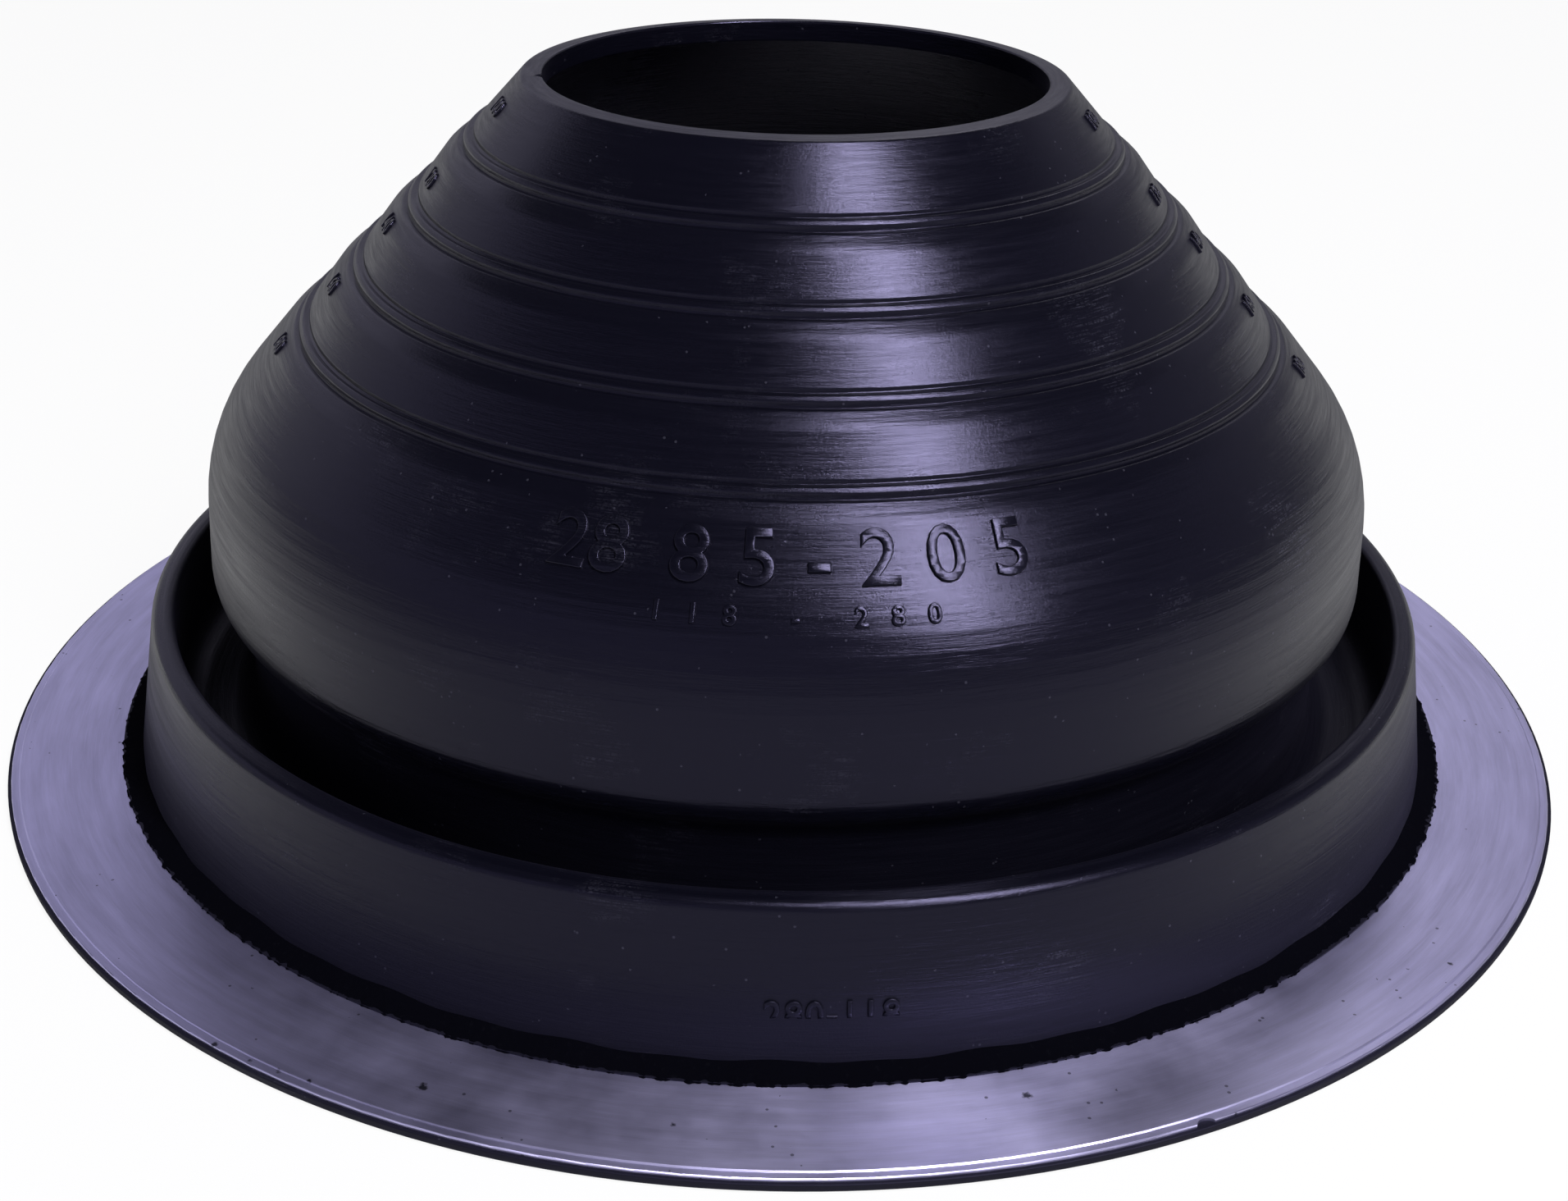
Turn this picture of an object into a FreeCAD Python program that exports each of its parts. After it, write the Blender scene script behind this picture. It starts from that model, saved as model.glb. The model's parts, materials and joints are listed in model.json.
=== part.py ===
import FreeCAD, Part
import math
import os

os.makedirs("parts", exist_ok=True)

# ---------------------------------------------------------------- sizes, mm
# boot, heights counted up from the seating face
bore_d = 84.6          # opening that grips the smallest pipe
lip_w = 3.5            # width of the top lip, bore to outer edge
lip_fall = 0.3         # how far the lip slopes down to its outer edge
lip_in_round = 0.35
lip_out_round = 0.9
lip_land = 3.6         # height of the straight bore under the lip
wall = 3.0             # moulded wall of cone, drum and neck

step_n = 4             # cutting beads round the cone
step_run = 9.61        # radius gained from one bead to the next
step_drop = 10.07      # height lost from one bead to the next
top_run = 13.0         # bore to the first bead, measured outward
top_drop = 9.85        # lip to the first bead, measured down

bead_w = 1.7           # raised cutting bead
bead_h = 0.45
groove_w = 0.9         # small groove above each bead
groove_d = 0.4
band_low = 0.55        # foot of each band, below the line through the beads
bulge = 0.3            # shoulder of each band, above that line
bulge_at = 4.7         # shoulder, measured down the cone from the bead
ledge_at = 1.8         # where the shoulder starts to swell, after the crease
ledge_low = 0.1        # how far that start lies below the line
crease_w = 0.4         # crease under the bead
crease_d = 0.2
shoulder_fillet = 5.0

drum_r_out = 18.37     # last bead to the outside of the drum, outward
drum_rise = 43.58      # underside corner of the drum up to the last bead
drum_wall_h = 24.2     # straight side of the drum
drum_draft = 1.1       # how much narrower the drum is at its top
drum_round = 29.0      # large rounding between cone and drum
cone_round = 20.0      # same rounding inside, up on the cone
belly_round = 8.0      # rounding under the drum
belly_tilt = 35.0      # slope of the drum's underside, degrees under level
neck_in = 5.8          # neck, measured in from the side of the drum
neck_h = 21.9          # straight neck, up from the trough's floor
neck_round = 3.5

trough_w = 12.9        # annular trough between neck and collar
trough_floor = 8.0     # height of its floor
trough_round = 4.5

collar_top = 28.0      # height of the collar's lip
collar_lip = 3.8       # width of the lip
collar_lip_fall = 0.5
collar_in_round = 0.9
collar_out_round = 1.7
collar_draft = 0.7     # lean of the collar's inner wall
collar_flare = 4.0     # how far the outer wall spreads down to its foot
foot_rise = 0.8        # height of the foot over the metal ring
foot_round = 0.8
skirt_in = 3.8         # seating face, reach inward from the collar's foot
skirt_draft = 0.5      # lean of its inner edge

flash_w = 3.4          # rubber that runs out over the ring's inner edge
flash_t = 0.35
ring_lap = 2.0         # ring under that edge
ring_gap = 0.3         # clearance at the ring's inner edge
ring_w = 20.9          # aluminium ring, bore to rim
ring_t = 0.65
rim_w = 1.3            # stepped edge line round the rim
rim_h = 0.2
flange_t = 1.35        # rubber sealing layer under the ring
flange_proud = 0.6     # rubber beyond the metal rim
flange_round = 0.5

seal_n = 4             # concentric sealing grooves in the seating face
seal_w = 1.5
seal_d = 0.4
seal_pitch = 4.3
seal_margin = 4.4      # rim to the first groove's middle

# marks of use
nick_w = 2.2           # knife nick in the lip's inner edge
nick_d = 1.1
nick_h = 1.3
nick_turn = 189.5      # place round the axis, degrees from +X
dent_w = 3.4           # bite out of the metal rim
dent_d = 0.9
dent_turn = -64.5


# ------------------------------------------------------------ drawing helpers
def unit(a, b):
    dx, dz = b[0] - a[0], b[1] - a[1]
    n = math.hypot(dx, dz)
    return dx / n, dz / n, n


def vec(p):
    return FreeCAD.Vector(p[0], 0, p[1])


def outline(corners):
    """Closed wire through (r, z, fillet) corners, each fillet a tangent arc
    that is limited by the straight pieces beside it."""
    n = len(corners)
    arcs = []
    for i in range(n):
        p, q, s = corners[i - 1], corners[i], corners[(i + 1) % n]
        ax, az, al = unit(q, p)
        bx, bz, bl = unit(q, s)
        dot = max(-1.0, min(1.0, ax * bx + az * bz))
        turn = math.pi - math.acos(dot)
        fillet = q[2]
        if fillet <= 0 or turn < 0.01:
            arcs.append((q, None, q))
            continue
        reach = min(fillet * math.tan(turn / 2), 0.48 * al, 0.48 * bl)
        radius = reach / math.tan(turn / 2)
        start = (q[0] + ax * reach, q[1] + az * reach)
        end = (q[0] + bx * reach, q[1] + bz * reach)
        mx, mz, _ = unit((0, 0), (ax + bx, az + bz))
        depth = radius / math.cos(turn / 2) - radius
        arcs.append((start, (q[0] + mx * depth, q[1] + mz * depth), end))
    edges = []
    for i in range(n):
        start, mid, end = arcs[i]
        if mid is not None:
            edges.append(Part.Arc(vec(start), vec(mid), vec(end)).toShape())
        nxt = arcs[(i + 1) % n][0]
        if math.hypot(nxt[0] - end[0], nxt[1] - end[1]) > 1e-6:
            edges.append(Part.makeLine(vec(end), vec(nxt)))
    return Part.Wire(edges)


def turned(corners):
    face = Part.Face(outline(corners))
    return face.revolve(FreeCAD.Vector(0, 0, 0), FreeCAD.Vector(0, 0, 1), 360)


def inset(points, depth):
    """Open line of (r, z) points moved to its right by depth, sharp corners."""
    lines = []
    for a, b in zip(points, points[1:]):
        dx, dz, _ = unit(a, b)
        lines.append((a[0] + dz * depth, a[1] - dx * depth, dx, dz))
    out = []
    for (x1, z1, dx1, dz1), (x2, z2, dx2, dz2) in zip(lines, lines[1:]):
        cross = dx1 * dz2 - dz1 * dx2
        t = ((x2 - x1) * dz2 - (z2 - z1) * dx2) / cross
        out.append((x1 + dx1 * t, z1 + dz1 * t))
    return out


# ------------------------------------------------------------- derived places
bore_r = bore_d / 2
first_r = bore_r + top_run
last_r = first_r + (step_n - 1) * step_run
drum_r = last_r + drum_r_out
neck_r = drum_r - neck_in
trough_r = neck_r + trough_w                   # collar's inner wall at its lip
collar_r = trough_r + collar_lip               # collar's outer edge at its lip
foot_r = collar_r + collar_flare
flash_r = foot_r + flash_w
ring_in = flash_r - ring_lap
ring_r = ring_in + ring_w
flange_r = ring_r + flange_proud
skirt_r = foot_r - skirt_in
ring_top = flange_t + ring_t

neck_slope = math.tan(math.radians(belly_tilt))
neck_top = trough_floor + neck_h
belly_z = neck_top + neck_in * neck_slope
last_z = belly_z + drum_rise
first_z = last_z + (step_n - 1) * step_drop
top_z = first_z + top_drop

slope = math.hypot(step_run, step_drop)
down = (step_run / slope, -step_drop / slope)
out = (step_drop / slope, step_run / slope)


def on_cone(i, along, high):
    """Point beside bead i: along the cone's slope and square off it."""
    r = first_r + i * step_run + along * down[0] + high * out[0]
    z = first_z - i * step_drop + along * down[1] + high * out[1]
    return r, z


def band_shoulder(i):
    return on_cone(i, bulge_at, bulge)


# ------------------------------------------------------------------ the boot
lip_edge = (bore_r + lip_w, top_z - lip_fall)
outer = [(bore_r, top_z, lip_in_round), lip_edge + (lip_out_round,)]
half = bead_w / 2
for i in range(step_n):
    outer += [
        on_cone(i, -half - groove_w, -band_low) + (0.3,),
        on_cone(i, -half - groove_w * 0.45, -band_low - groove_d) + (0.25,),
        on_cone(i, -half, -band_low - groove_d * 0.5) + (0.1,),
        on_cone(i, -half * 0.55, -band_low + bead_h) + (0.45,),
        on_cone(i, half * 0.55, -band_low + bead_h) + (0.45,),
        on_cone(i, half, -band_low) + (0.1,),
        on_cone(i, half + crease_w, -band_low - crease_d) + (0.1,),
        on_cone(i, ledge_at, -ledge_low) + (0.7,),
        band_shoulder(i) + (shoulder_fillet,),
    ]
drum_top = (drum_r - drum_draft, belly_z + drum_wall_h)
drum_low = (drum_r, belly_z)
neck_start = (neck_r, neck_top)
outer += [
    drum_top + (drum_round,),
    drum_low + (belly_round,),
    neck_start + (neck_round,),
    (neck_r, trough_floor, trough_round),
    (trough_r + collar_draft, trough_floor, trough_round),
    (trough_r, collar_top, collar_in_round),
    (collar_r, collar_top - collar_lip_fall, collar_out_round),
    (foot_r, ring_top + foot_rise, foot_round),
    (foot_r + flash_w * 0.5, ring_top + flash_t, 1.0),
    (flash_r, ring_top + flash_t * 0.8, 0),
    (flash_r, ring_top, 0),
    (ring_in - ring_gap, ring_top, 0),
    (ring_in - ring_gap, flange_t, 0),
    (flange_r, flange_t, 0.2),
    (flange_r, 0, flange_round),
]
seat = []
for k in range(seal_n):
    mid = ring_r - seal_margin - k * seal_pitch
    seat += [(mid + seal_w / 2, 0, 0), (mid + seal_w / 4, seal_d, 0.2),
             (mid - seal_w / 4, seal_d, 0.2), (mid - seal_w / 2, 0, 0)]
web_low = trough_floor - wall
seat += [(skirt_r, 0, 0.6), (skirt_r - skirt_draft, web_low, 0.8)]

# inside: smooth, the cone's line through the beads one wall further in
spine = [on_cone(-1, 0, 0), on_cone(step_n - 1, bulge_at, 0)]
spine += [drum_top, drum_low, neck_start, (neck_r, trough_floor), (trough_r, trough_floor)]
rounding = [cone_round, drum_round - wall, belly_round - wall]
rounding += [neck_round + wall, trough_round + wall]
inside = [p + (f,) for p, f in zip(inset(spine, wall), rounding)]
inner = inside[::-1] + [(bore_r, top_z - lip_land, 0.5)]

boot = turned(outer + seat + inner)

nick = Part.makeBox(nick_d * 2, nick_w, nick_h * 2,
                    FreeCAD.Vector(bore_r - nick_d, -nick_w / 2, top_z - nick_h))
nick.rotate(FreeCAD.Vector(0, 0, top_z), FreeCAD.Vector(0, 0, 1), nick_turn)
boot = boot.cut(nick)
boot.exportStep("parts/rubber_boot.step")

# ------------------------------------------------------------------ the ring
ring = turned([
    (ring_in, flange_t, 0), (ring_r, flange_t, 0),
    (ring_r, ring_top - rim_h, 0.2), (ring_r - rim_w, ring_top - rim_h, 0.1),
    (ring_r - rim_w - rim_h, ring_top, 0.15), (ring_in, ring_top, 0),
])
dent = Part.makeCylinder(dent_w / 2, ring_t * 3,
                         FreeCAD.Vector(ring_r + dent_w / 2 - dent_d, 0, flange_t - ring_t))
dent.rotate(FreeCAD.Vector(0, 0, 0), FreeCAD.Vector(0, 0, 1), dent_turn)
ring = ring.cut(dent)
ring.exportStep("parts/aluminium_base_ring.step")

print("height", round(top_z, 2), "ring radius", round(ring_r, 2), "solids",
      len(boot.Solids), len(ring.Solids), boot.isValid(), ring.isValid())
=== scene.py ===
"""Finish, raised figures, ragged rubber edge and studio for a stepped pipe flashing boot.

The solid rubber boot and its aluminium base ring come from the frame. This script
gives both their surface finish, adds the thin ragged rubber that ran out over the
ring when it was moulded and the raised size figures, and sets up floor, lamps and camera.
"""

import json
import math

import bmesh
import bpy
import numpy as np
from bpy.props import FloatProperty, FloatVectorProperty, IntProperty, PointerProperty, StringProperty
from mathutils import Matrix, Vector

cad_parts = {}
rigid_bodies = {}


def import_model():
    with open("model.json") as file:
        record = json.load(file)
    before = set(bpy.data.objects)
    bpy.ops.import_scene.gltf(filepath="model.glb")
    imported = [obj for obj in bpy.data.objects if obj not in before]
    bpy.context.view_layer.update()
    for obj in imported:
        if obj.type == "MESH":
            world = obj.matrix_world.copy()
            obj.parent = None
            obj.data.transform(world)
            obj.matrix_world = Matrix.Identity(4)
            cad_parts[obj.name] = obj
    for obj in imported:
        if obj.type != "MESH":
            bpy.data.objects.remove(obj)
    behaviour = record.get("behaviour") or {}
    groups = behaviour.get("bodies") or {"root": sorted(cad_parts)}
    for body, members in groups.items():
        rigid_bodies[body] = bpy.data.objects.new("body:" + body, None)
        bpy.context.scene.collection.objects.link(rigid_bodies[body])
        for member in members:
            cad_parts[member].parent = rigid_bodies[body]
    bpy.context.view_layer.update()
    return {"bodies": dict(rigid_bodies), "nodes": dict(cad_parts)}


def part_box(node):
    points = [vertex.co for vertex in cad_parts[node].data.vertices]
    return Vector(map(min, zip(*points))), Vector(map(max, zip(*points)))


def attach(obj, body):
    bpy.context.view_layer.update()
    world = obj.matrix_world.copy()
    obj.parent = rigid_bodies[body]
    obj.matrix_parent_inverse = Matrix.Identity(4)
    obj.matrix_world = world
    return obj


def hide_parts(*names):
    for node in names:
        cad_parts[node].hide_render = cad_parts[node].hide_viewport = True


bl_info = {
    "name": "Pipe flashing boot",
    "version": (1, 0, 0),
    "blender": (4, 5, 0),
    "location": "View3D > Sidebar > Boot",
    "description": "Finish and studio for a stepped rubber pipe flashing boot",
    "category": "Object",
}

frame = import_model()
BOOT, RING = "rubber_boot", "aluminium_base_ring"
BODY = next(iter(frame["bodies"]))
BOOT_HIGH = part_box(BOOT)[1]
RING_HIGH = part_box(RING)[1]
MM = 0.001
SHARP = math.radians(50)
DRUM_FOOT = 0.034                       # height of the drum's lowest part
DRUM_SIDE = 0.09                        # radius between the cone's inside and the drum's outer face
COLLAR_INNER, COLLAR_WALL = 0.1100, 0.1115    # radii of the collar's inner face and of its middle
COLLAR_LOW, COLLAR_HIGH = 0.004, 0.0272       # heights between which the collar's face runs
FIRST_MARK, MARK_DROP = 112.3, 10.07    # height of the top step's marks and the fall to the next, in mm
MARK_SIDES = (-168, -12)                # where the steps' marks stand, in degrees round the axis
LAMP_COLOUR = (0.95, 0.93, 1.0)
LAMPS = {                               # azimuth and elevation in degrees, distance and size in metres
    "key": (-54, 51, 1.05, (0.09, 0.86)),
    "strip": (-54, 52, 1.04, (0.085, 0.84)),
    "back": (77, 39, 1.3, (0.5, 0.4)),
}
RING_MARKS = [                          # radius in mm, angle in degrees and size in mm
    (132.0, -111.8, 1.5), (126.5, -73.6, 1.3), (139.2, -125.2, 1.0), (139.0, -122.4, 0.8),
    (138.6, -120.3, 0.9), (138.0, -118.1, 0.8), (130.0, -96.0, 0.7), (136.0, -40.0, 0.8),
]


# ------------------------------------------------------------------ the frame's own shape
def seam_profile(node):
    """Closed profile of a turned node, as (radius, height) points in order.

    The solid was turned from the plane y = 0, so its mesh has edges along the
    profile there. They are joined end to end, anticlockwise round the section."""
    mesh = frame["nodes"][node].data
    co = np.empty(len(mesh.vertices) * 3)
    mesh.vertices.foreach_get("co", co)
    co = co.reshape(-1, 3)
    edges = np.empty(len(mesh.edges) * 2, dtype=np.int64)
    mesh.edges.foreach_get("vertices", edges)
    edges = edges.reshape(-1, 2)
    on_plane = (np.abs(co[:, 1]) < 1e-6) & (co[:, 0] > 0)
    edges = edges[on_plane[edges].all(axis=1)]
    grid = np.round(co[:, [0, 2]] * 1e6).astype(np.int64)
    points, places = np.unique(grid[edges.ravel()], axis=0, return_inverse=True)
    beside = {}
    for a, b in {tuple(sorted(pair)) for pair in places.reshape(-1, 2).tolist() if pair[0] != pair[1]}:
        beside.setdefault(a, []).append(b)
        beside.setdefault(b, []).append(a)
    order = [0, beside[0][0]]
    while len(order) < len(points):
        here, last = order[-1], order[-2]
        order.append(next(p for p in beside[here] if p != last))
    line = points[order] * 1e-6
    nxt = np.roll(line, -1, axis=0)
    area = np.sum(line[:, 0] * nxt[:, 1] - nxt[:, 0] * line[:, 1])
    return line if area > 0 else line[::-1]


def eased_profile(line, turn_step, span, support):
    """The profile with fewer points on its arcs and support points on its straights.

    An arc keeps a point each time it has turned by turn_step. A straight piece gets a
    point at support from each end, so shading stays flat on it, and more each span."""
    step = np.roll(line, -1, axis=0) - line
    length = np.hypot(step[:, 0], step[:, 1])
    heading = np.arctan2(step[:, 1], step[:, 0])
    turn = (heading - np.roll(heading, 1) + math.pi) % math.tau - math.pi
    turned = np.floor(np.cumsum(np.abs(turn)) / turn_step)
    straight = length > 2.5 * support
    keep = (turned != np.roll(turned, 1)) | straight | np.roll(straight, 1)
    line = line[keep]
    step = np.roll(line, -1, axis=0) - line
    length = np.hypot(step[:, 0], step[:, 1])
    out = []
    for start, along, reach in zip(line, step, length):
        shares = [0.0]
        if reach > 2.5 * support:
            inner = np.linspace(support, reach - support, 2 + int(reach / span))
            shares += (inner / reach).tolist()
        out.append(start + np.outer(shares, along))
    return np.vstack(out)


def outer_face(low):
    """The boot's outer face from the drum's foot up to the lip, as (radius, height) points."""
    line = seam_profile(BOOT)
    line = np.roll(line, -int(line[:, 1].argmax()) - 1, axis=0)
    below = np.flatnonzero((line[:, 1] < low) & (line[:, 0] > DRUM_SIDE))
    return line[below[-1]:]


def collar_face():
    """The collar's outer face from the foot up to its lip, as (radius, height) points."""
    line = seam_profile(BOOT)
    within = (line[:, 1] > COLLAR_LOW) & (line[:, 1] < COLLAR_HIGH)
    line = line[(line[:, 0] > COLLAR_WALL) & within]
    return line[line[:, 1].argsort()]


def ring_inner_radius():
    """Radius of the ring's bore."""
    return float(seam_profile(RING)[:, 0].min())


BORE = float(seam_profile(BOOT)[:, 0].min())


# ------------------------------------------------------------------ mesh and piece helpers
def grid_mesh(name, points, wrap_u, wrap_v):
    """Mesh of quads over a grid of points; either direction may close on itself."""
    nu, nv = points.shape[:2]
    across, along = (n if wrap else n - 1 for n, wrap in ((nu, wrap_u), (nv, wrap_v)))
    i, j = np.meshgrid(np.arange(across), np.arange(along), indexing="ij")
    i2, j2 = (i + 1) % nu, (j + 1) % nv
    quads = np.stack([i * nv + j, i2 * nv + j, i2 * nv + j2, i * nv + j2], -1).reshape(-1, 4)
    mesh = bpy.data.meshes.new(name)
    mesh.from_pydata(points.reshape(-1, 3).tolist(), [], quads.tolist())
    mesh.polygons.foreach_set("use_smooth", np.ones(len(quads), dtype=bool))
    mesh.update()
    return mesh


def add_piece(name, mesh, material):
    """Links a finished mesh as a piece that rides on the boot's body."""
    piece = bpy.data.objects.new(name, mesh)
    bpy.context.scene.collection.objects.link(piece)
    mesh.materials.clear()
    mesh.materials.append(material)
    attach(piece, BODY)
    return piece


def dress(node, material):
    """Gives a frame node its finish."""
    mesh = frame["nodes"][node].data
    mesh.materials.clear()
    mesh.materials.append(material)


# ------------------------------------------------------------------ shader helpers
def new_group(name, inputs, outputs):
    """Empty shader group with float inputs {name: default} and named outputs."""
    tree = bpy.data.node_groups.new(name, "ShaderNodeTree")
    for label, value in inputs.items():
        socket = tree.interface.new_socket(label, in_out="INPUT", socket_type="NodeSocketFloat")
        socket.default_value = value
    for label in outputs:
        tree.interface.new_socket(label, in_out="OUTPUT", socket_type="NodeSocketFloat")
    return tree, tree.nodes.new("NodeGroupInput"), tree.nodes.new("NodeGroupOutput")


def math_node(tree, operation, a, b=None):
    """One Math node; a and b are numbers or sockets."""
    node = tree.nodes.new("ShaderNodeMath")
    node.operation = operation
    for socket, value in zip(node.inputs, (a, b)):
        if isinstance(value, bpy.types.NodeSocket):
            tree.links.new(value, socket)
        elif value is not None:
            socket.default_value = value
    return node.outputs[0]


def blend_colour(tree, mask, first, second):
    """Colour that goes from first to second with the mask."""
    node = tree.nodes.new("ShaderNodeMix")
    node.data_type = "RGBA"
    tree.links.new(mask, node.inputs["Factor"])
    for label, value in (("A", first), ("B", second)):
        socket = next(s for s in node.inputs if s.name == label and s.type == "RGBA")
        if isinstance(value, bpy.types.NodeSocket):
            tree.links.new(value, socket)
        else:
            socket.default_value = (*value, 1)
    return next(s for s in node.outputs if s.type == "RGBA")


def ramp(tree, value, low, high, bottom=0.0, top=1.0):
    """Clamped straight-line map of value from low..high to bottom..top."""
    node = tree.nodes.new("ShaderNodeMapRange")
    tree.links.new(value, node.inputs["Value"])
    for label, number in (("From Min", low), ("From Max", high), ("To Min", bottom), ("To Max", top)):
        node.inputs[label].default_value = number
    return node.outputs[0]


def turned_coordinates(tree):
    """Radius, height and the unit direction (cos, sin) round the axis at a point."""
    coords = tree.nodes.new("ShaderNodeTexCoord")
    split = tree.nodes.new("ShaderNodeSeparateXYZ")
    tree.links.new(coords.outputs["Object"], split.inputs[0])
    x, y, z = split.outputs
    squares = math_node(tree, "ADD", math_node(tree, "MULTIPLY", x, x), math_node(tree, "MULTIPLY", y, y))
    radius = math_node(tree, "MAXIMUM", math_node(tree, "SQRT", squares), 1e-4)
    return radius, z, math_node(tree, "DIVIDE", x, radius), math_node(tree, "DIVIDE", y, radius)


def noise_at(tree, vector, scale, detail, roughness=0.5):
    """Noise from 0 to 1 at a place; scale, detail and roughness are numbers or sockets."""
    node = tree.nodes.new("ShaderNodeTexNoise")
    node.noise_dimensions = "3D"
    tree.links.new(vector, node.inputs["Vector"])
    for label, value in (("Scale", scale), ("Detail", detail), ("Roughness", roughness)):
        if isinstance(value, bpy.types.NodeSocket):
            tree.links.new(value, node.inputs[label])
        else:
            node.inputs[label].default_value = value
    return node.outputs["Fac"]


def join_vector(tree, x, y, z):
    """Vector of three numbers or sockets."""
    node = tree.nodes.new("ShaderNodeCombineXYZ")
    for socket, value in zip(node.inputs, (x, y, z)):
        if isinstance(value, bpy.types.NodeSocket):
            tree.links.new(value, socket)
        else:
            socket.default_value = value
    return node.outputs[0]


def group_round_streaks():
    """Fine lines that run round the axis, as a mould cutter or a brush leaves them.

    The pattern changes fast across (radius less height, times Across) and slowly
    round the axis (unit direction times Along), so it has no seam."""
    known = bpy.data.node_groups.get("Round streaks")
    if known:
        return known
    inputs = {"Across": 2000.0, "Along": 4.0, "Height share": 1.0}
    tree, given, result = new_group("Round streaks", inputs, ["Mask"])
    radius, height, cos, sin = turned_coordinates(tree)
    lowered = math_node(tree, "MULTIPLY", height, given.outputs["Height share"])
    across = math_node(tree, "SUBTRACT", radius, lowered)
    vector = join_vector(
        tree,
        math_node(tree, "MULTIPLY", across, given.outputs["Across"]),
        math_node(tree, "MULTIPLY", cos, given.outputs["Along"]),
        math_node(tree, "MULTIPLY", sin, given.outputs["Along"]),
    )
    tree.links.new(noise_at(tree, vector, 1.0, 5.0, 0.62), result.inputs["Mask"])
    return tree


def group_specks():
    """Small separate spots of dust or pitting.

    A spot lies where a cell's middle is nearer than Size, and a coarse noise passes Thinning."""
    known = bpy.data.node_groups.get("Specks")
    if known:
        return known
    tree, given, result = new_group("Specks", {"Scale": 400.0, "Size": 0.12, "Thinning": 0.6}, ["Mask"])
    coords = tree.nodes.new("ShaderNodeTexCoord")
    cells = tree.nodes.new("ShaderNodeTexVoronoi")
    tree.links.new(coords.outputs["Object"], cells.inputs["Vector"])
    tree.links.new(given.outputs["Scale"], cells.inputs["Scale"])
    near = math_node(tree, "LESS_THAN", cells.outputs["Distance"], given.outputs["Size"])
    wide = math_node(tree, "MULTIPLY", given.outputs["Scale"], 0.35)
    coarse = noise_at(tree, coords.outputs["Object"], wide, 3.0)
    kept = math_node(tree, "GREATER_THAN", coarse, given.outputs["Thinning"])
    tree.links.new(math_node(tree, "MULTIPLY", near, kept), result.inputs["Mask"])
    return tree


def place_group(tree, group, **values):
    """Places a shared group in a material and returns its mask."""
    node = tree.nodes.new("ShaderNodeGroup")
    node.node_tree = group
    for label, value in values.items():
        node.inputs[label.replace("_", " ")].default_value = value
    return node.outputs["Mask"]


def new_material(name, constants):
    """Material whose shader has the given constants on its own sockets."""
    material = bpy.data.materials.new(name)
    material.use_nodes = True
    shader = material.node_tree.nodes["Principled BSDF"]
    for label, value in constants.items():
        shader.inputs[label].default_value = value
    return material, material.node_tree, shader


def relief(tree, shader, height, depth, under=None):
    """Bump of the given depth in metres, laid over an earlier one."""
    node = tree.nodes.new("ShaderNodeBump")
    node.inputs["Distance"].default_value = depth
    tree.links.new(height, node.inputs["Height"])
    if under is not None:
        tree.links.new(under, node.inputs["Normal"])
    tree.links.new(node.outputs["Normal"], shader.inputs["Normal"])
    return node.outputs["Normal"]


# ------------------------------------------------------------------ settings
class BootRubber(bpy.types.PropertyGroup):
    """Finish of the moulded rubber"""

    # Its blue is painted light: the lamps' violet cast, put into the near-black rubber's own colour.
    colour: FloatVectorProperty(
        name="Rubber", description="Colour of the clean rubber", subtype="COLOR",
        default=(0.0028, 0.0028, 0.0058))
    chalk: FloatVectorProperty(
        name="Chalk", description="Colour of the pale scuffs", subtype="COLOR", default=(0.045, 0.045, 0.06))
    roughness: FloatProperty(
        name="Roughness", description="Satin of the moulded face", default=0.20, min=0, max=1)


class BootSkin(bpy.types.PropertyGroup):
    """Shape of the turned skin and of the nick in its lip"""

    columns: IntProperty(name="Columns", description="Columns of faces round the boot", default=260, min=48)
    arc_step: FloatProperty(
        name="Arc step", description="Degrees that one face of a rounding turns", default=9.0)
    unevenness: FloatProperty(
        name="Unevenness", description="Slow waves of the moulding", unit="LENGTH", default=0.035 * MM)
    nick_turn: FloatProperty(
        name="Nick", description="Place of the knife nick round the lip", subtype="ANGLE",
        default=math.radians(189.5))
    nick_width: FloatProperty(
        name="Nick width", description="Half its width", unit="LENGTH", default=1.3 * MM)
    nick_depth: FloatProperty(
        name="Nick depth", description="How far it cuts in", unit="LENGTH", default=1.3 * MM)
    nick_height: FloatProperty(
        name="Nick height", description="How far down it runs", unit="LENGTH", default=1.5 * MM)


class BootRing(bpy.types.PropertyGroup):
    """Finish of the base ring"""

    # Its lavender is painted light: the lamps' violet cast, put into the bare metal's colour.
    colour: FloatVectorProperty(
        name="Aluminium", description="Colour of the bare metal", subtype="COLOR", default=(0.54, 0.52, 0.76))
    roughness: FloatProperty(name="Roughness", description="Brushed finish", default=0.40, min=0, max=1)
    brushing: FloatProperty(
        name="Brushing", description="How far the brushing draws highlights out", default=0.42)


class BootFigures(bpy.types.PropertyGroup):
    """Plain figures raised on the boot"""

    size_mark: StringProperty(name="Size", description="Short figures on the drum", default="28")
    range_mark: StringProperty(name="Range", description="Large figures on the drum", default="85-205")
    small_mark: StringProperty(
        name="Small line", description="Small figures on the drum", default="118 - 280")
    collar_mark: StringProperty(name="Collar", description="Figures on the collar", default="280-118")
    step_marks: StringProperty(
        name="Steps", description="Figures on the steps, from the top down", default="100 120 140 160 180")
    raised: FloatProperty(
        name="Raised", description="Half the height of the figures", unit="LENGTH", default=0.36 * MM)


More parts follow.
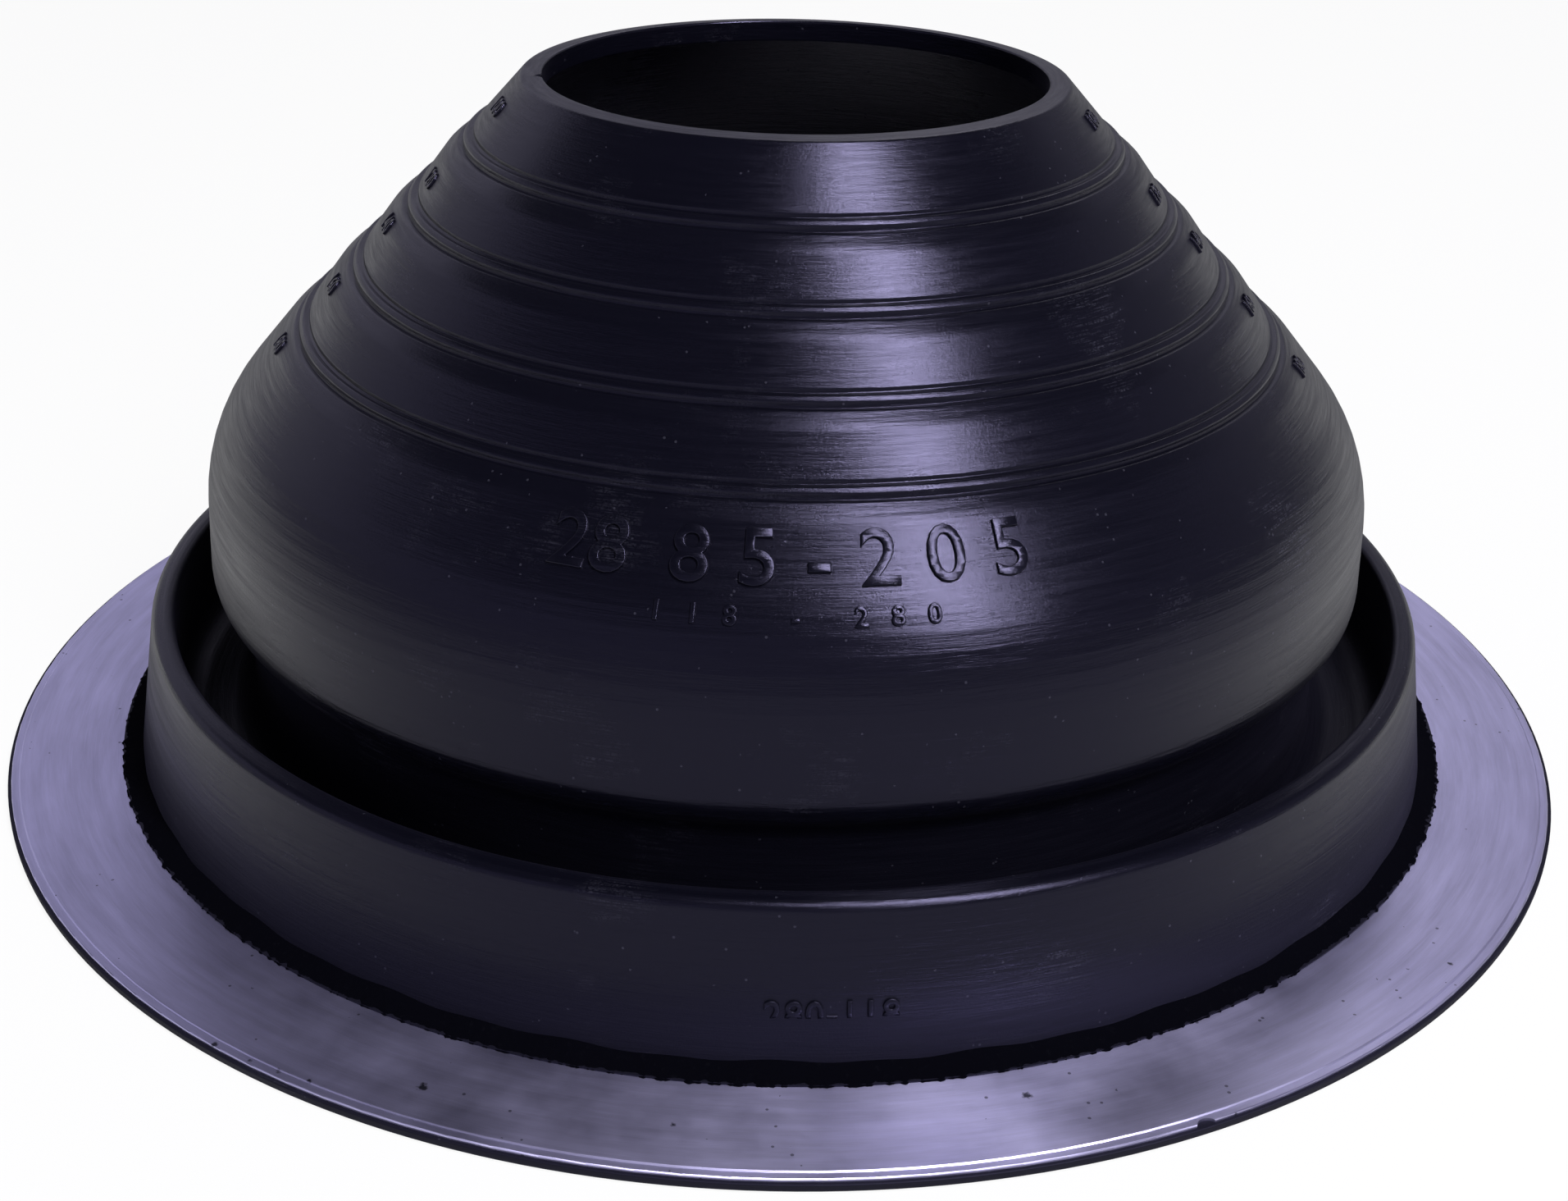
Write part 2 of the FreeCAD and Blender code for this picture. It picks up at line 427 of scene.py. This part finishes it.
class BootFlash(bpy.types.PropertyGroup):
    """Shape of the torn rubber over the ring's inner edge"""

    reach: FloatProperty(
        name="Reach", description="Mean reach over the ring's inner edge", unit="LENGTH", default=2.0 * MM)
    tooth: FloatProperty(
        name="Tooth", description="Size of the ragged teeth", unit="LENGTH", default=0.35 * MM)
    thickness: FloatProperty(
        name="Thickness", description="Thickness at the edge", unit="LENGTH", default=0.4 * MM)
    apron: FloatProperty(
        name="Apron", description="Width of the torn rubber inside the ring's bore", unit="LENGTH",
        default=2.9 * MM)
    teeth: IntProperty(name="Points round", description="Points round the edge", default=2400, min=200)


class BootStudio(bpy.types.PropertyGroup):
    """Lamps, room, floor and camera"""

    gloss_power: FloatProperty(
        name="Strip lamp", description="Power of the strip that shows only in gloss", unit="POWER",
        default=12.0)
    back_power: FloatProperty(
        name="Back lamp", description="Power of the back panel", unit="POWER", default=1.1)
    key_power: FloatProperty(
        name="Key lamp", description="Power of the tall key lamp", unit="POWER", default=13.5)
    floor: FloatVectorProperty(
        name="Floor", description="Colour of the floor", subtype="COLOR", default=(0.9, 0.9, 0.9))
    ambient: FloatProperty(name="Ambient", description="Level of the dim ceiling", default=0.07, min=0)
    walls: FloatProperty(
        name="Walls", description="Level of the pale walls round the set", default=0.72, min=0)
    eye: FloatVectorProperty(
        name="Camera", description="Place of the camera", subtype="TRANSLATION", unit="LENGTH",
        default=(0.0, -0.3649, 0.1976))
    pitch: FloatProperty(
        name="Pitch", description="Downward tilt", subtype="ANGLE", default=math.radians(26.07))
    roll: FloatProperty(
        name="Roll", description="Turn about the view", subtype="ANGLE", default=math.radians(1.30))
    lens: FloatProperty(name="Lens", description="Focal length in mm", default=49.82)


# ------------------------------------------------------------------ finishes
def rubber_material(settings):
    """Satin black moulded rubber: mould streaks round the cone, grain, chalky scuffs and dust.

    It is rougher in the trough, at the collar's foot and where the face turns away."""
    known = bpy.data.materials.get("Moulded rubber")
    if known:
        return known
    # The lavender Specular Tint is painted light: the lamps' violet cast on the rubber's highlights.
    material, tree, shader = new_material("Moulded rubber", {
        "Specular IOR Level": 0.21, "Specular Tint": (0.66, 0.63, 1.0, 1.0), "Metallic": 0.0})
    coords = tree.nodes.new("ShaderNodeTexCoord").outputs["Object"]
    streaks = place_group(tree, group_round_streaks(), Across=900.0, Along=5.0)
    fine = place_group(tree, group_round_streaks(), Across=3200.0, Along=18.0)
    dust = place_group(tree, group_specks(), Scale=650.0, Size=0.13, Thinning=0.60)
    patches = noise_at(tree, coords, 46.0, 4.0, 0.6)
    grain = noise_at(tree, coords, 2600.0, 3.0, 0.6)
    scuffed = math_node(tree, "MULTIPLY", ramp(tree, patches, 0.56, 0.72), ramp(tree, fine, 0.48, 0.70))
    scuffed = math_node(tree, "MULTIPLY", scuffed, ramp(tree, grain, 0.40, 0.62))
    chalky, dusty = math_node(tree, "MULTIPLY", scuffed, 0.9), math_node(tree, "MULTIPLY", dust, 0.5)
    pale = math_node(tree, "ADD", chalky, dusty)
    tree.links.new(blend_colour(tree, pale, settings.colour, settings.chalk), shader.inputs["Base Color"])
    rough = math_node(tree, "ADD", ramp(tree, streaks, 0.3, 0.7, -0.05, 0.07), settings.roughness)
    rough = math_node(tree, "ADD", rough, math_node(tree, "MULTIPLY", scuffed, 0.25))
    radius, height, cos, sin = turned_coordinates(tree)
    trough = math_node(tree, "MULTIPLY", ramp(tree, height, DRUM_FOOT, DRUM_FOOT - 6 * MM, 0.0, 0.28),
                       ramp(tree, radius, COLLAR_WALL, COLLAR_INNER))
    foot = math_node(tree, "MULTIPLY", ramp(tree, height, 0.016, 0.006, 0.0, 0.42),
                     ramp(tree, radius, COLLAR_INNER, COLLAR_WALL))
    rough = math_node(tree, "ADD", rough, math_node(tree, "ADD", trough, foot))
    facing = tree.nodes.new("ShaderNodeLayerWeight").outputs["Facing"]
    rough = math_node(tree, "ADD", rough, ramp(tree, facing, 0.50, 1.0, 0.0, 0.34))
    tree.links.new(rough, shader.inputs["Roughness"])
    normal = relief(tree, shader, grain, 0.02 * MM)
    normal = relief(tree, shader, streaks, 0.075 * MM, normal)
    relief(tree, shader, fine, 0.032 * MM, normal)
    return material


def torn_material(settings):
    """Matt torn rubber at half the rubber's colour, rough and pitted."""
    material, tree, shader = new_material("Torn rubber", {"Specular IOR Level": 0.01, "Roughness": 0.9})
    coords = tree.nodes.new("ShaderNodeTexCoord").outputs["Object"]
    pitting = noise_at(tree, coords, 900.0, 4.0, 0.6)
    dark = [c * 0.5 for c in settings.colour]
    colour = blend_colour(tree, ramp(tree, pitting, 0.6, 0.9, 0.0, 0.06), dark, settings.chalk)
    tree.links.new(colour, shader.inputs["Base Color"])
    relief(tree, shader, pitting, 0.15 * MM)
    return material


def ring_mark(tree, coords, reach, turn, size):
    """Mask of one small ragged mark on the ring, at a radius and an angle in degrees."""
    angle = math.radians(turn)
    place = (reach * math.cos(angle) * MM, reach * math.sin(angle) * MM, RING_HIGH.z)
    gap = tree.nodes.new("ShaderNodeVectorMath")
    gap.operation = "DISTANCE"
    tree.links.new(coords, gap.inputs[0])
    gap.inputs[1].default_value = place
    ragged = math_node(tree, "MULTIPLY", noise_at(tree, coords, 1500.0, 2.0), size * MM)
    distance = math_node(tree, "ADD", gap.outputs["Value"], ragged)
    return ramp(tree, distance, size * 1.1 * MM, size * 0.8 * MM)


def aluminium_material(settings):
    """Mill-finish aluminium brushed round the axis, with pits and fine scratches."""
    material, tree, shader = new_material("Brushed aluminium", {
        "Metallic": 1.0, "Anisotropic": settings.brushing, "Anisotropic Rotation": 0.25})
    tangent = tree.nodes.new("ShaderNodeTangent")
    tangent.direction_type, tangent.axis = "RADIAL", "Z"
    tree.links.new(tangent.outputs[0], shader.inputs["Tangent"])
    coords = tree.nodes.new("ShaderNodeTexCoord").outputs["Object"]
    brushed = place_group(tree, group_round_streaks(), Across=5200.0, Along=10.0, Height_share=0.0)
    broad = place_group(tree, group_round_streaks(), Across=420.0, Along=5.0, Height_share=0.0)
    pits = place_group(tree, group_specks(), Scale=420.0, Size=0.11, Thinning=0.60)
    haze = noise_at(tree, coords, 38.0, 4.0, 0.55)
    # The ring's colour carries the lamps' violet cast as painted light.
    bright = settings.colour
    dull = [c * 0.80 for c in bright]
    colour = blend_colour(tree, ramp(tree, broad, 0.35, 0.65), dull, bright)
    lines = ramp(tree, brushed, 0.52, 0.75, 0.0, 0.35)
    colour = blend_colour(tree, lines, colour, [c * 1.2 for c in bright])
    marked = math_node(tree, "MULTIPLY", pits, 0.7)
    for reach, turn, size in RING_MARKS:
        marked = math_node(tree, "MAXIMUM", marked, ring_mark(tree, coords, reach, turn, size))
    colour = blend_colour(tree, marked, colour, [c * 0.12 for c in bright])
    tree.links.new(colour, shader.inputs["Base Color"])
    rough = math_node(tree, "ADD", ramp(tree, haze, 0.35, 0.65, -0.06, 0.06), settings.roughness)
    tree.links.new(rough, shader.inputs["Roughness"])
    normal = relief(tree, shader, brushed, 0.012 * MM)
    relief(tree, shader, broad, 0.03 * MM, normal)
    return material


# ------------------------------------------------------------------ moulded skin
def angles_round(settings):
    """Angles round the axis: evenly spaced, with closer ones across the knife nick."""
    even = np.arange(settings.columns) / settings.columns * math.tau
    close = settings.nick_turn + np.linspace(-1, 1, 13) * 2.2 * settings.nick_width / BORE
    return np.unique(np.concatenate([even, close % math.tau]).round(6))


def wander(angle, height, settings):
    """Slow unevenness of the moulding: a sum of waves round the axis that changes
    with height, faded out near the lip and below the drum."""
    total = np.zeros(np.broadcast(angle, height).shape)
    draw = np.random.default_rng(11)
    for count in (2, 3, 5, 8, 13, 21):
        phase, lean = draw.uniform(0, math.tau), draw.uniform(-60, 60)
        total = total + np.sin(angle * count + phase + lean * height) / math.sqrt(count)
    low = np.clip((height - DRUM_FOOT) / (12 * MM), 0, 1)
    high = np.clip((BOOT_HIGH.z - height) / (6 * MM), 0, 1)
    return settings.unevenness * total * low * high


def skin_mesh(settings):
    """The boot turned from the frame's own profile.

    Each point is (radius, height) of the profile at an angle. The wander moves it
    outward or inward, and the nick pushes the lip's inner edge outward in a V."""
    line = eased_profile(seam_profile(BOOT), math.radians(settings.arc_step), 4 * MM, 0.25 * MM)
    angle = angles_round(settings)[:, None]
    radius, height = line[:, 0][None, :], line[:, 1][None, :]
    radius = radius + wander(angle, height, settings)
    off = (angle - settings.nick_turn) * BORE / settings.nick_width
    cut = np.clip(1 - np.abs(off), 0, 1) * np.clip((height - BOOT_HIGH.z) / settings.nick_height + 1, 0, 1)
    inside = radius < BORE + settings.nick_depth
    radius = np.where(inside, radius + cut * (BORE + settings.nick_depth - radius), radius)
    height = np.broadcast_to(height, radius.shape)
    points = np.stack([radius * np.cos(angle), radius * np.sin(angle), height], -1)
    mesh = grid_mesh("rubber_skin", points, True, True)
    mesh.set_sharp_from_angle(angle=SHARP)
    return mesh


# ------------------------------------------------------------------ raised figures
def text_points(words, size, spacing, raised):
    """Mesh of plain figures in the plane z = 0, cut into short pieces so that it can bend."""
    curve = bpy.data.curves.new("figures", "FONT")
    curve.body = words
    curve.size, curve.space_character = size, spacing
    curve.align_x, curve.align_y = "CENTER", "CENTER"
    curve.resolution_u = 4
    curve.extrude = raised
    curve.bevel_depth, curve.bevel_resolution = raised * 0.4, 1
    shape = bpy.data.objects.new("figures", curve)
    bpy.context.scene.collection.objects.link(shape)
    bpy.context.view_layer.update()
    ready = shape.evaluated_get(bpy.context.evaluated_depsgraph_get())
    mesh = bpy.data.meshes.new_from_object(ready)
    bpy.data.objects.remove(shape)
    bpy.data.curves.remove(curve)
    work = bmesh.new()
    work.from_mesh(mesh)
    bmesh.ops.remove_doubles(work, verts=work.verts, dist=size * 1e-4)
    for cut in np.arange(-0.6, 0.61, 0.1) * size:
        parts = work.verts[:] + work.edges[:] + work.faces[:]
        bmesh.ops.bisect_plane(work, geom=parts, plane_co=(0, cut, 0), plane_no=(0, 1, 0))
    work.to_mesh(mesh)
    work.free()
    return mesh


def laid_on(mesh, face, turn, height):
    """Bends flat figures onto the boot: x runs round the axis, y up the face, z off it."""
    co = np.empty(len(mesh.vertices) * 3)
    mesh.vertices.foreach_get("co", co)
    x, y, z = co.reshape(-1, 3).T
    step = np.diff(face, axis=0)
    arc = np.concatenate([[0], np.cumsum(np.hypot(step[:, 0], step[:, 1]))])
    start = arc[np.abs(face[:, 1] - height).argmin()]
    radius, level = (np.interp(start + y, arc, face[:, k]) for k in (0, 1))
    reach = 0.8 * MM
    above, below = start + y + reach, start + y - reach
    run, rise = (np.interp(above, arc, face[:, k]) - np.interp(below, arc, face[:, k]) for k in (0, 1))
    size = np.hypot(run, rise)
    radius, level = radius + z * rise / size, level - z * run / size
    angle = turn + x / np.interp(start, arc, face[:, 0])
    points = np.stack([radius * np.cos(angle), radius * np.sin(angle), level], -1)
    mesh.vertices.foreach_set("co", points.ravel())
    mesh.update()


def figures_mesh(settings):
    """All raised figures: on the drum, on each step at both sides and on the collar."""
    side, wall = outer_face(DRUM_FOOT), collar_face()
    raised = settings.raised
    rows = [
        (settings.size_mark, 11.8, 1.0, side, -107.5, 71.6, raised),
        (settings.range_mark, 11.8, 1.62, side, -84.0, 71.6, raised),
        (settings.small_mark, 4.0, 2.6, side, -89.0, 64.2, raised * 0.8),
        (settings.collar_mark, 5.4, 1.1, wall, -86, 8.0, raised * 0.8),
    ]
    for place, words in enumerate(settings.step_marks.split()):
        height = FIRST_MARK - MARK_DROP * place
        rows += [(words, 4.2, 1.0, side, turn, height, raised * 0.7) for turn in MARK_SIDES]
    work = bmesh.new()
    for words, size, spacing, face, turn, height, lift in rows:
        mesh = text_points(words, size * MM, spacing, lift)
        laid_on(mesh, face, math.radians(turn), height * MM)
        work.from_mesh(mesh)
        bpy.data.meshes.remove(mesh)
    bmesh.ops.recalc_face_normals(work, faces=work.faces)
    mesh = bpy.data.meshes.new("raised_figures")
    work.to_mesh(mesh)
    work.free()
    mesh.polygons.foreach_set("use_smooth", np.ones(len(mesh.polygons), dtype=bool))
    mesh.set_sharp_from_angle(angle=SHARP)
    return mesh


# ------------------------------------------------------------------ ragged rubber edge
def ragged_reach(angle, tooth, seed):
    """Reach of the ragged edge at each angle: slow waves, small waves and random teeth.

    Random values on evenly spaced points are smoothed a little, so neighbours differ
    by about one tooth."""
    draw = np.random.default_rng(seed)
    rough = draw.normal(size=angle.size)
    soft = (rough + np.roll(rough, 1) + np.roll(rough, -1)) / 3
    waves = sum(np.sin(angle * k + draw.uniform(0, math.tau)) / k for k in (5, 11, 23, 47, 90))
    return tooth * (0.8 * soft + 0.9 * waves)


def flash_mesh(settings):
    """Thin ring of rubber over the metal's inner edge.

    A section of seven points is carried round the axis: the apron's foot, top and
    slope, the thin run-out, and the ragged lip's top and underside. The lip's radius
    is the ring's bore plus the reach and the teeth."""
    count = settings.teeth
    angle = np.arange(count) / count * math.tau
    lap = settings.reach + ragged_reach(angle, settings.tooth, 5)
    lip = ring_inner_radius() + np.maximum(lap, 0.2 * MM)
    inner = np.full(count, ring_inner_radius() - settings.apron)
    top = RING_HIGH.z
    lift = settings.thickness * (0.85 + 0.15 * np.sin(angle * 37) * np.sin(angle * 13))
    section = [
        (inner, np.full(count, top - 0.1 * MM)),
        (inner, top + lift * 6.0),
        (inner + 0.58 * settings.apron, top + lift * 4.6),
        (inner + 0.95 * settings.apron, top + lift * 2.2),
        (lip - 0.4 * MM, top + lift * 1.1),
        (lip, top + lift * 0.5),
        (lip, np.full(count, top + 0.01 * MM)),
    ]
    radius = np.stack([s[0] for s in section], 1)
    height = np.stack([s[1] for s in section], 1)
    points = np.stack([radius * np.cos(angle)[:, None], radius * np.sin(angle)[:, None], height], -1)
    return grid_mesh("ragged_flash", points, True, True)


# ------------------------------------------------------------------ operators
class BOOT_OT_rubber(bpy.types.Operator):
    """Mix the moulded rubber finish"""

    bl_idname = "boot.rubber"
    bl_label = "Rubber"

    def execute(self, context):
        dress(BOOT, rubber_material(context.scene.boot_rubber))
        return {"FINISHED"}


class BOOT_OT_skin(bpy.types.Operator):
    """Turn the boot's moulded skin from the frame's profile"""

    bl_idname = "boot.skin"
    bl_label = "Rubber boot"

    def execute(self, context):
        mesh = skin_mesh(context.scene.boot_skin)
        skin = add_piece("rubber_skin", mesh, rubber_material(context.scene.boot_rubber))
        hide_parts(BOOT)
        return {"FINISHED"}


class BOOT_OT_ring(bpy.types.Operator):
    """Give the base ring its brushed aluminium finish"""

    bl_idname = "boot.ring"
    bl_label = "Aluminium ring"

    def execute(self, context):
        dress(RING, aluminium_material(context.scene.boot_ring))
        return {"FINISHED"}


class BOOT_OT_figures(bpy.types.Operator):
    """Raise plain figures on the drum, the steps and the collar"""

    bl_idname = "boot.figures"
    bl_label = "Raised figures"

    def execute(self, context):
        mesh = figures_mesh(context.scene.boot_figures)
        add_piece("raised_figures", mesh, rubber_material(context.scene.boot_rubber))
        return {"FINISHED"}


class BOOT_OT_flash(bpy.types.Operator):
    """Add the ragged rubber that ran out over the ring's inner edge"""

    bl_idname = "boot.flash"
    bl_label = "Ragged rubber edge"

    def execute(self, context):
        mesh = flash_mesh(context.scene.boot_flash)
        add_piece("ragged_flash", mesh, torn_material(context.scene.boot_rubber))
        return {"FINISHED"}


def add_lamp(name, power):
    """Rectangular soft lamp that looks at the boot from a direction in degrees from +X."""
    azimuth, elevation, distance, size = LAMPS[name]
    lamp = bpy.data.lights.new(name, "AREA")
    lamp.shape = "RECTANGLE"
    lamp.size, lamp.size_y = size
    lamp.energy = power
    lamp.color = LAMP_COLOUR
    obj = bpy.data.objects.new(name, lamp)
    bpy.context.scene.collection.objects.link(obj)
    a, e = math.radians(azimuth), math.radians(elevation)
    away = Vector((math.cos(a) * math.cos(e), math.sin(a) * math.cos(e), math.sin(e)))
    obj.location = Vector((0, 0, BOOT_HIGH.z / 2)) + away * distance
    obj.rotation_euler = away.to_track_quat("Z", "Y").to_euler()
    return obj


def shown_ray(tree):
    """1 for rays from the camera, and for mirror and glass rays."""
    path = tree.nodes.new("ShaderNodeLightPath")
    seen = math_node(tree, "MAXIMUM", path.outputs["Is Camera Ray"], path.outputs["Is Glossy Ray"])
    return math_node(tree, "MAXIMUM", seen, path.outputs["Is Transmission Ray"])


def pale_material(settings):
    """Pale studio paper that shows white and keeps part of its shadows.

    The glow stops under the boot, where no light would reach the paper."""
    material = bpy.data.materials.new("Pale paper")
    material.use_nodes = True
    tree = material.node_tree
    tree.nodes.clear()
    diffuse = tree.nodes.new("ShaderNodeBsdfDiffuse")
    diffuse.inputs["Color"].default_value = (*settings.floor, 1)
    glow = tree.nodes.new("ShaderNodeEmission")
    mix = tree.nodes.new("ShaderNodeMixShader")
    radius = turned_coordinates(tree)[0]
    open_floor = ramp(tree, radius, RING_HIGH.x - 3 * MM, RING_HIGH.x, 0.0, 0.92)
    tree.links.new(math_node(tree, "MULTIPLY", shown_ray(tree), open_floor), mix.inputs[0])
    tree.links.new(diffuse.outputs[0], mix.inputs[1])
    tree.links.new(glow.outputs[0], mix.inputs[2])
    output = tree.nodes.new("ShaderNodeOutputMaterial")
    tree.links.new(mix.outputs[0], output.inputs["Surface"])
    return material


def add_floor(settings):
    """Wide pale floor whose edges stand up a little."""
    half = 60.0
    rise = 4.0
    flat = [(-half, -half, 0), (half, -half, 0), (half, half, 0), (-half, half, 0)]
    edge = [(x, y, rise) for x, y, z in flat]
    sides = [(k, (k + 1) % 4, (k + 1) % 4 + 4, k + 4) for k in range(4)]
    mesh = bpy.data.meshes.new("floor")
    mesh.from_pydata(flat + edge, [], [(0, 1, 2, 3)] + sides)
    mesh.transform(Matrix.Translation((0, 0, -0.2 * MM)))
    mesh.materials.append(pale_material(settings))
    floor = bpy.data.objects.new("floor", mesh)
    bpy.context.scene.collection.objects.link(floor)


def set_world(settings):
    """Room whose walls grow paler up to a third of the way overhead, under a dim ceiling.

    The walls are dimmer towards +X."""
    world = bpy.data.worlds.new("Studio")
    bpy.context.scene.world = world
    world.use_nodes = True
    tree = world.node_tree
    way = tree.nodes.new("ShaderNodeTexCoord").outputs["Generated"]
    split = tree.nodes.new("ShaderNodeSeparateXYZ")
    tree.links.new(way, split.inputs[0])
    level = settings.ambient
    high = split.outputs["Z"]
    pale = math_node(tree, "MULTIPLY", ramp(tree, high, 0.62, 0.50), ramp(tree, high, 0.05, 0.42, 0.4, 1.0))
    pale = math_node(tree, "MULTIPLY", pale, ramp(tree, split.outputs["X"], -0.4, 0.5, 1.0, 0.42))
    wall = [settings.walls * share for share in (0.95, 0.92, 1.16)]
    shade = blend_colour(tree, pale, (level, level, level * 1.15), wall)
    tree.links.new(shade, tree.nodes["Background"].inputs["Color"])


def add_camera(settings):
    """Camera at its place, tilted down and rolled, without shift or depth of field."""
    data = bpy.data.cameras.new("Camera")
    data.lens = settings.lens
    data.sensor_width = 36.0
    camera = bpy.data.objects.new("Camera", data)
    bpy.context.scene.collection.objects.link(camera)
    tilt = Matrix.Rotation(math.pi / 2 - settings.pitch, 4, "X")
    camera.matrix_world = Matrix.Translation(settings.eye) @ tilt @ Matrix.Rotation(settings.roll, 4, "Z")
    bpy.context.scene.camera = camera


class BOOT_OT_stage(bpy.types.Operator):
    """Set up the floor, the soft lamps, the room and the camera"""

    bl_idname = "boot.stage"
    bl_label = "Studio"

    def execute(self, context):
        settings = context.scene.boot_studio
        context.scene.view_settings.view_transform = "Standard"
        add_floor(settings)
        set_world(settings)
        add_lamp("key", settings.key_power)
        strip = add_lamp("strip", settings.gloss_power)
        strip.visible_diffuse = False
        add_lamp("back", settings.back_power)
        add_camera(settings)
        return {"FINISHED"}


class BOOT_PT_panel(bpy.types.Panel):
    """Lists the steps that dress the boot"""

    bl_idname = "BOOT_PT_panel"
    bl_label = "Pipe flashing boot"
    bl_space_type = "VIEW_3D"
    bl_region_type = "UI"
    bl_category = "Boot"

    def draw(self, context):
        for name, group, operator in STEPS:
            box = self.layout.box()
            settings = getattr(context.scene, name)
            for label in group.__annotations__:
                box.prop(settings, label)
            box.operator(operator.bl_idname)


STEPS = [
    ("boot_rubber", BootRubber, BOOT_OT_rubber),
    ("boot_skin", BootSkin, BOOT_OT_skin),
    ("boot_ring", BootRing, BOOT_OT_ring),
    ("boot_flash", BootFlash, BOOT_OT_flash),
    ("boot_figures", BootFigures, BOOT_OT_figures),
    ("boot_studio", BootStudio, BOOT_OT_stage),
]


def register():
    """Adds the settings, the operators and the panel."""
    for name, group, operator in STEPS:
        bpy.utils.register_class(group)
        bpy.utils.register_class(operator)
        setattr(bpy.types.Scene, name, PointerProperty(type=group))
    bpy.utils.register_class(BOOT_PT_panel)


def unregister():
    """Takes the panel, the operators and the settings away again."""
    bpy.utils.unregister_class(BOOT_PT_panel)
    for name, group, operator in reversed(STEPS):
        delattr(bpy.types.Scene, name)
        bpy.utils.unregister_class(operator)
        bpy.utils.unregister_class(group)


def main():
    """Runs every step in order."""
    register()
    for name, group, operator in STEPS:
        part, step = operator.bl_idname.split(".")
        getattr(getattr(bpy.ops, part), step)()


if __name__ == "__main__":
    main()
